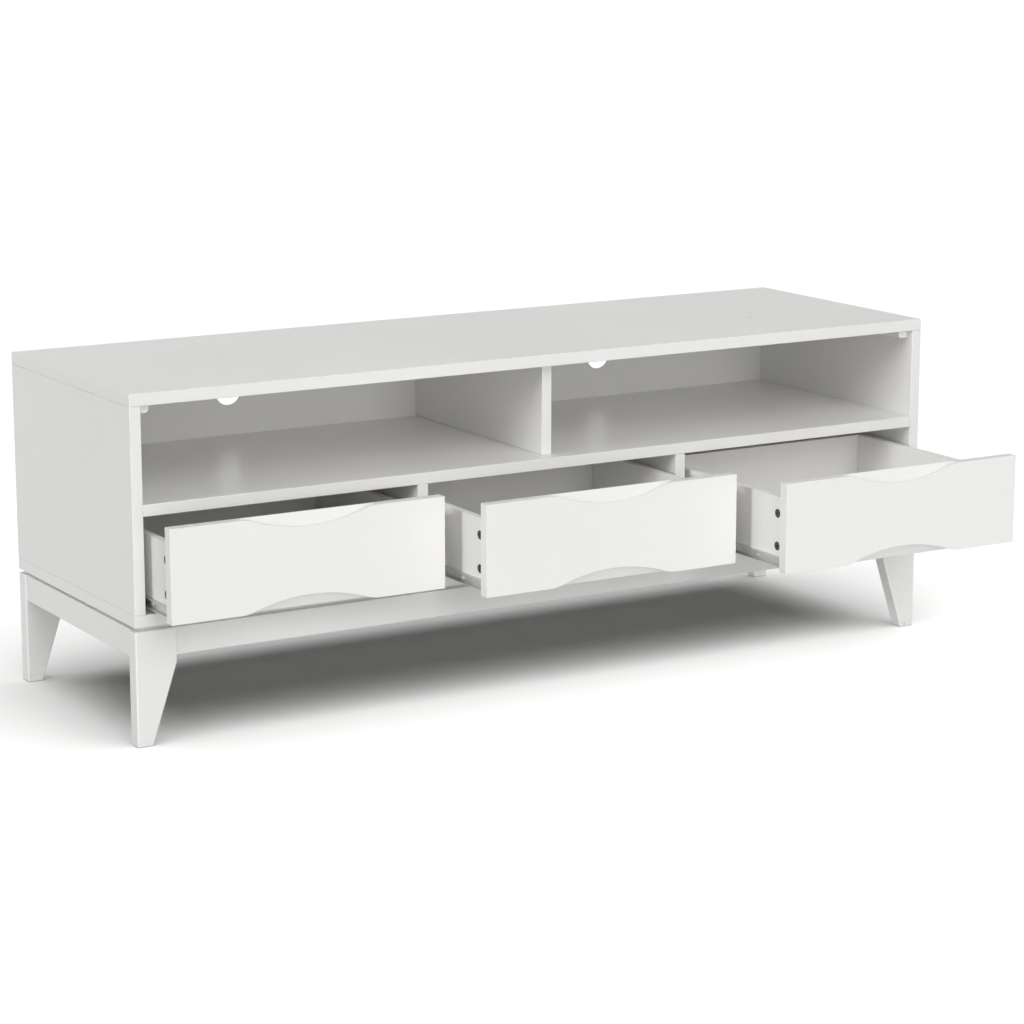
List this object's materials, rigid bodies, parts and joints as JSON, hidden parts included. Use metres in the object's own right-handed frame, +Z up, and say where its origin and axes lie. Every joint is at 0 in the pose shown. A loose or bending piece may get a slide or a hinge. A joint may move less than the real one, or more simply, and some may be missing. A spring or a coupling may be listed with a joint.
{
  "type": "media cabinet",
  "caption": "Low white media cabinet with open bays above inset drawers that run on ball-bearing slides, on a rail base with tapered board legs.",
  "frame": {"origin": "on the floor, under the middle of the cabinet's outline with its drawers as they stand at rest", "axes": "+X along the cabinet to its right as seen from the front, +Y to the back, +Z up; the drawers face -Y"},
  "size_m": [1.524, 0.773, 0.56],
  "materials": {
    "white_lacquer": "satin white lacquer over fibreboard and solid wood",
    "white_drawer_board": "satin white foil over fibreboard",
    "white_hardboard": "matt white paint over hardboard",
    "raw_board": "bare, sanded",
    "birch_dowel": "bare",
    "zinc_slide": "zinc plated",
    "zinc_fastener": "zinc plated",
    "dark_fitting": "dark zinc"
  },
  "bodies": {
    "cabinet": {"top_panel": "white_lacquer", "side_panel_left": "white_lacquer", "side_panel_right": "white_lacquer", "bottom_panel": "white_lacquer", "shelf": "white_lacquer", "bay_divider": "white_lacquer", "drawer_divider_left": "white_lacquer", "drawer_divider_right": "white_lacquer", "back_panel": "white_hardboard", "top_cleat_left": "white_lacquer", "top_cleat_right": "white_lacquer", "leg_front_left": "white_lacquer", "leg_front_right": "white_lacquer", "leg_rear_left": "white_lacquer", "leg_rear_right": "white_lacquer", "rail_front": "white_lacquer", "rail_rear": "white_lacquer", "rail_left": "white_lacquer", "rail_right": "white_lacquer", "corner_blocks": "raw_board", "base_spacers": "white_lacquer", "leg_bolts": "zinc_fastener", "base_screws": "zinc_fastener", "carcass_dowels": "birch_dowel", "carcass_screws": "zinc_fastener", "cleat_screws": "zinc_fastener", "shelf_cam_fittings": "dark_fitting", "cabinet_slide_screws": "zinc_fastener", "cabinet_slides_left": "zinc_slide", "cabinet_slides_middle": "zinc_slide", "cabinet_slides_right": "zinc_slide"},
    "left_drawer": {"drawer_left_front": "white_lacquer", "drawer_left_side_left": "white_drawer_board", "drawer_left_side_right": "white_drawer_board", "drawer_left_back": "white_drawer_board", "drawer_left_bottom": "white_hardboard", "drawer_left_cam_fittings": "dark_fitting", "drawer_left_slides": "zinc_slide", "drawer_left_slide_screws": "zinc_fastener"},
    "middle_drawer": {"drawer_middle_front": "white_lacquer", "drawer_middle_side_left": "white_drawer_board", "drawer_middle_side_right": "white_drawer_board", "drawer_middle_back": "white_drawer_board", "drawer_middle_bottom": "white_hardboard", "drawer_middle_cam_fittings": "dark_fitting", "drawer_middle_slides": "zinc_slide", "drawer_middle_slide_screws": "zinc_fastener"},
    "right_drawer": {"drawer_right_front": "white_lacquer", "drawer_right_side_left": "white_drawer_board", "drawer_right_side_right": "white_drawer_board", "drawer_right_back": "white_drawer_board", "drawer_right_bottom": "white_hardboard", "drawer_right_cam_fittings": "dark_fitting", "drawer_right_slides": "zinc_slide", "drawer_right_slide_screws": "zinc_fastener"},
    "left_ball_cages": {"drawer_left_ball_cages": "zinc_slide"},
    "middle_ball_cages": {"drawer_middle_ball_cages": "zinc_slide"},
    "right_ball_cages": {"drawer_right_ball_cages": "zinc_slide"}
  },
  "joints": [
    {"name": "left_drawer_slide", "type": "slide", "parent": "cabinet", "child": "left_drawer", "axis": [0, -1, 0], "range_m": [-0.092, 0.208]},
    {"name": "middle_drawer_slide", "type": "slide", "parent": "cabinet", "child": "middle_drawer", "axis": [0, -1, 0], "range_m": [-0.184, 0.116]},
    {"name": "right_drawer_slide", "type": "slide", "parent": "cabinet", "child": "right_drawer", "axis": [0, -1, 0], "range_m": [-0.293, 0.007]},
    {"name": "left_ball_cage_slide", "type": "slide", "parent": "cabinet", "child": "left_ball_cages", "axis": [0, -1, 0], "range_m": [-0.046, 0.104]},
    {"name": "middle_ball_cage_slide", "type": "slide", "parent": "cabinet", "child": "middle_ball_cages", "axis": [0, -1, 0], "range_m": [-0.092, 0.058]},
    {"name": "right_ball_cage_slide", "type": "slide", "parent": "cabinet", "child": "right_ball_cages", "axis": [0, -1, 0], "range_m": [-0.1465, 0.0035]}
  ],
  "couplings": [
    {"joint": "left_ball_cage_slide", "follows": "left_drawer_slide", "ratio": 0.5},
    {"joint": "middle_ball_cage_slide", "follows": "middle_drawer_slide", "ratio": 0.5},
    {"joint": "right_ball_cage_slide", "follows": "right_drawer_slide", "ratio": 0.5}
  ]
}
